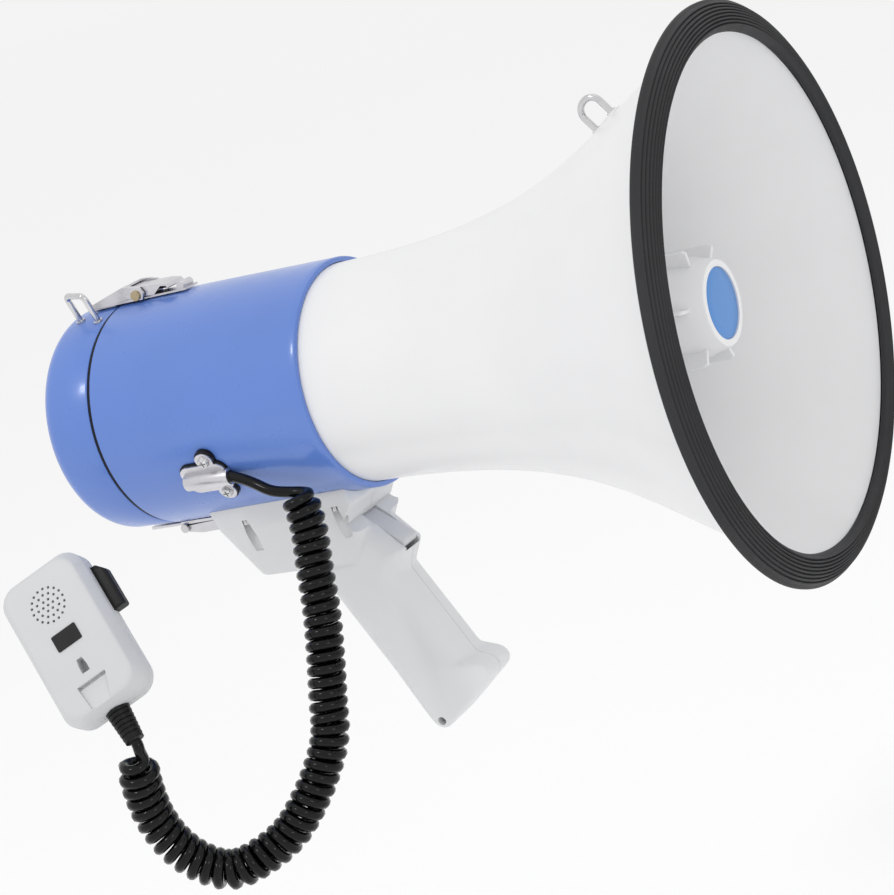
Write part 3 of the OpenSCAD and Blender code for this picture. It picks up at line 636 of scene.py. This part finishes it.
def hull_union(hulls, voxel, rounds):
    """The union of convex hulls of points, with all its edges and hollows rounded."""
    whole = bmesh.new()
    for points in hulls:
        bm = bmesh.new()
        for p in points:
            bm.verts.new([c * MM for c in p])
        bmesh.ops.convex_hull(bm, input=bm.verts)
        bmesh.ops.delete(bm, geom=[v for v in bm.verts if not v.link_faces], context="VERTS")
        part = bpy.data.meshes.new("hull")
        bm.to_mesh(part)
        bm.free()
        whole.from_mesh(part)
        bpy.data.meshes.remove(part)
    mesh = bpy.data.meshes.new("form")
    whole.to_mesh(mesh)
    whole.free()
    obj = add_object("form", mesh)
    remesh = obj.modifiers.new("voxels", "REMESH")
    remesh.mode = "VOXEL"
    remesh.voxel_size = voxel * MM
    smooth = obj.modifiers.new("smooth", "SMOOTH")
    smooth.factor = 0.5
    smooth.iterations = rounds
    return obj


def side_solid(outline, w):
    """Points and faces of a solid w wide from an outline in the XZ plane."""
    n = len(outline)
    verts = [(x, -w / 2, z) for x, z in outline] + [(x, w / 2, z) for x, z in outline]
    faces = [list(range(n)), list(range(n, 2 * n))[::-1]]
    faces += [[k, (k + 1) % n, n + (k + 1) % n, n + k] for k in range(n)]
    return verts, faces


TRIGGER_SLOT = [(-18.6, 36), (-18.2, 42.9), (-13, 44.3), (-9, 43), (14, 36), (14, 27.5), (8.4, 24.2),
                (2, 20), (-8, 20), (-8, 29.8), (-12.5, 33)]
FRONT_FOLD = [(40, 80), (0, 80), (-0.6, 54), (-2, 52), (-4.2, 50), (-5.8, 48.2), (-6.8, 46), (-8, 44),
              (-9.5, 43.6), (-4, 38.2), (40, 30)]
TRIGGER_SIDE = [(-17.6, 37), (-17, 42), (-13, 43.4), (-9, 41.8), (6, 29.8), (7.4, 28.4), (7.7, 27),
                (6.4, 24.9), (2.6, 28), (0.8, 31.5), (-5.8, 31.5), (-8, 33.8), (-11, 35)]


def grip():
    form = [
        (span(-77, 6, 62, SADDLE_W, 4) + span(-75, 1, 50, SADDLE_W - 3, 5)
         + span(-66, -12, 24.5, GRIP_W + 5, 7)),
        span(-40, -10.2, 45, GRIP_W, 9) + span(-41, 7.3, 25.5, GRIP_W - 2, 9),
        span(-41, 8.5, 25, GRIP_W - 2, 9) + span(-38.5, 3.2, 14.5, GRIP_W - 1, 13),
        span(-38.5, 3.2, 14.5, GRIP_W - 1, 13) + span(-18, 23, -29, GRIP_W, 13),
        (span(-18, 23, -29, GRIP_W, 13) + roll(27.5, -35.5, 5, GRIP_W - 8)
         + roll(2.5, -54, 5, GRIP_W - 5)),
    ]
    solid = add_object("solid", carve(hull_union(form, GRIP_VOXEL, GRIP_ROUNDS)))
    cuts = [drum(52.05, 50.45, 0, 110.5, HORN @ Matrix.Translation((0, 0, SEAM_H)), 128),
            cutter("front_fold", *side_solid(FRONT_FOLD, 60)),
            cutter("trigger_slot", *side_solid(TRIGGER_SLOT, SLOT_W))]
    # pockets of the saddle screws
    for x in (-57, -8.5):
        for s in (-1, 1):
            cuts.append(drum(2.2, 3.4, 38, 54, Matrix.Translation((x, s * 22, 0)), 32))
    cuts.append(drum(2, 2, -40, 40, Matrix.Translation((2.5, 0, -55)) @ ACROSS, 48))
    whole = carve(solid, cuts)
    for name, side in (("grip_right", -1), ("grip_left", 1)):
        bm = bmesh.new()
        bm.from_mesh(whole)
        bmesh.ops.bisect_plane(bm, geom=bm.verts[:] + bm.edges[:] + bm.faces[:],
                               plane_co=(0, side * 0.0001, 0), plane_no=(0, side, 0), clear_inner=True)
        bmesh.ops.holes_fill(bm, edges=[e for e in bm.edges if e.is_boundary], sides=0)
        mesh = bpy.data.meshes.new(name)
        bm.to_mesh(mesh)
        bm.free()
        half = add_piece(name + "_shell", mesh, GRIP_GREY, ROOT, 50)
        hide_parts(name)


grip()


def trigger():
    obj = make_piece("trigger_lever", *side_solid(TRIGGER_SIDE, TRIGGER_W), TRIGGER_GREY, "trigger")
    soft_edges(obj, 1.0, 3)
    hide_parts("trigger")


trigger()


# ---------------------------------------------------------------- microphone

MIC_W, MIC_L = 41.0, 70.5
GRILLE_Y = 16.7
HOLE_PITCH = 2.5


def mic_skin(s):
    """Rings of one half (s is 1 or -1), from the middle out, with a crowned face and a soft edge."""
    rings = []
    for z, inset, r in ((0.12, 0.25, 9), (0.3, 0.05, 9), (0.6, 0, 9), (4.3, 0, 9), (4.9, 0.2, 9),
                        (9.9, 2.5, 8.2), (10.45, 2.85, 8), (10.8, 3.3, 7.7), (10.96, 4.0, 7.2),
                        (11.0, 5, 6.5)):
        rings.append(rounded(MIC_W - 2 * inset, MIC_L - 2 * inset, r, s * z, 10))
    return rings


def add_shell(blank, cuts, name, node):
    shell = add_piece(name, carve(blank, cuts), MIC_GREY, "microphone", 40)
    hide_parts(node)


def microphone():
    # sound holes in three rings round one
    cuts = []
    for n in range(4):
        for i in range(max(6 * n, 1)):
            a = math.radians(i * 60 / max(n, 1))
            spot = (HOLE_PITCH * n * math.cos(a), GRILLE_Y + HOLE_PITCH * n * math.sin(a), 0)
            cuts.append(drum(0.62, 0.62, 8.6, 13, MIC @ Matrix.Translation(spot), 16))
    hanger = [(-1.9, -17.2), (1.9, -17.2), (1.9, -14), (1.3, -10.6), (-1.3, -10.6), (-1.9, -14)]
    cuts.append(prism("slot_cut", hanger, 5, 13, MIC_GREY, None, MIC))
    line = [(-7, -22.4, 8.2), (7, -22.4, 8.2), (7, -21, 8.2), (-7, -21, 8.2),
            (-7, -22.2, 13), (7, -22.2, 13), (7, -21, 13), (-7, -21, 13)]
    cuts.append(cutter("line_cut", line, place=MIC))
    ramp = [(-6, -32, 10.2), (3, -34.5, 10.6), (7, -22.1, 9.5), (-7, -22.1, 9.5),
            (-6, -32, 13), (3, -34.5, 13), (7, -22.1, 13), (-7, -22.1, 13)]
    cuts.append(cutter("ramp_cut", ramp, place=MIC))
    # room for the button in both halves
    side = [(x, y, z) for z in (-7, 0.4) for x, y in ((15, 1.6), (25, 1.6), (25, 24), (15, 24))]
    cuts.append(cutter("side_cut", side, place=MIC))
    add_shell(loft("blank", mic_skin(1), MIC_GREY, None, MIC, 0), cuts, "mic_face", "mic_front")
    cuts = [cutter("side_cut", side, place=MIC)]
    add_shell(loft("blank", mic_skin(-1), MIC_GREY, None, MIC, 0), cuts, "mic_rear", "mic_back")


microphone()

# ---------------------------------------------------------------- small hardware

# widths of the softened edges, in millimetres
SMALL = {0.25: ("latch_lever", "latch_claw", "latch_base", "latch_keeper", "cap_hinge_leaf",
                "barrel_hinge_bracket", "clamp_plate", "latch_rivet", "hinge_pin"),
         0.15: ("clamp_screws", "mic_screws", "saddle_screws", "driver_screws", "grip_screws"),
         0.6: ("mic_button", "control_plate", "mode_slider", "volume_knob"),
         0.35: ("strain_relief", "clamp_pad", "mic_plate")}
for width, names in SMALL.items():
    for node in names:
        soft_edges(NODES[node], width, 2, 32)

bpy.context.view_layer.update()


# ---------------------------------------------------------------- floor, light

FLOOR_Z = -0.34
FLOOR_SIZE = 400
SKY_LIGHT = 0.9
# name, place, aim, size and power
LAMPS = (("key", (-0.5, -1.6, 1.6), (0, 0, 0.1), 0.28, 5.5),
         ("front", (1.6, -1.0, 0.7), (0.1, 0, 0.1), 0.35, 2.5),
         ("top", (0.0, 0.5, 2.0), (0, 0, 0.1), 1.6, 2))


def stage():
    bpy.ops.mesh.primitive_plane_add(size=FLOOR_SIZE, location=(0, 0, FLOOR_Z))
    floor = bpy.context.object
    floor.name = "floor"
    n = Nodes("floor_pale")
    base = n.mix(n.remap(n.noise(0.2, 2), 0, 1), (0.995, 0.995, 0.996), (0.998, 0.998, 0.998))
    n.link(base, n.shader.inputs["Base Color"])
    n.shader.inputs["Roughness"].default_value = 1.0
    n.shader.inputs["Specular IOR Level"].default_value = 0.0
    floor.data.materials.append(n.mat)
    world = bpy.context.scene.world or bpy.data.worlds.new("world")
    bpy.context.scene.world = world
    world.use_nodes = True
    back = world.node_tree.nodes["Background"]
    back.inputs["Color"].default_value = (1, 1, 1, 1)
    back.inputs["Strength"].default_value = SKY_LIGHT
    for name, place, aim, size, power in LAMPS:
        data = bpy.data.lights.new(name, "AREA")
        data.size = size
        data.energy = power
        lamp = bpy.data.objects.new(name, data)
        lamp.location = place
        lamp.rotation_euler = (Vector(aim) - Vector(place)).to_track_quat("-Z", "Y").to_euler()
        bpy.context.scene.collection.objects.link(lamp)


stage()
bpy.context.scene.view_settings.view_transform = "Standard"

bpy.context.view_layer.update()
